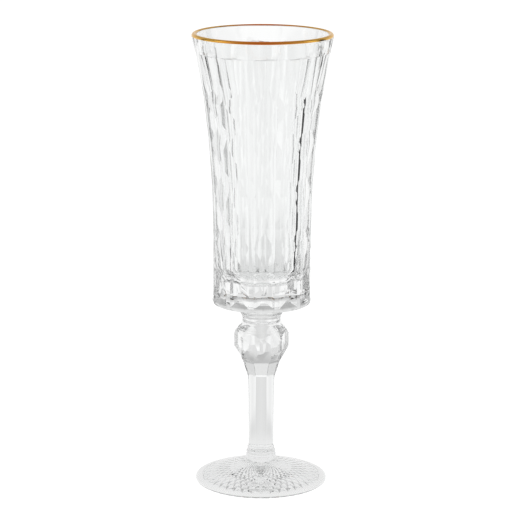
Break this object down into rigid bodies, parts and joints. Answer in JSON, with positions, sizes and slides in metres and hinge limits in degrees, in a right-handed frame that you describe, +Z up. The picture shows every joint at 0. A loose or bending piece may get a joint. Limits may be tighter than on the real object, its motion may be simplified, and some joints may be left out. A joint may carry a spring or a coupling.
{
  "type": "champagne flute",
  "caption": "Tall pressed clear-glass champagne flute: flared faceted bowl with a gilt lip, faceted knop, eight-sided stem and round star-cut foot.",
  "frame": {"origin": "middle of the foot's underside, in the plane that the glass stands on", "axes": "+Z up along the glass's axis to the lip, -Y towards the front side of the stem, +X to the right of someone facing that side"},
  "size_m": [0.0672, 0.0672, 0.22],
  "materials": {
    "clear_glass": "fire-polished pressed clear soda-lime crystal-look glass",
    "gilding": "bright fired gold"
  },
  "bodies": {
    "root": {"foot": "clear_glass", "foot_collar": "clear_glass", "stem": "clear_glass", "knop": "clear_glass", "merese": "clear_glass", "bowl": "clear_glass", "gilt_rim_band": "gilding"}
  },
  "joints": []
}
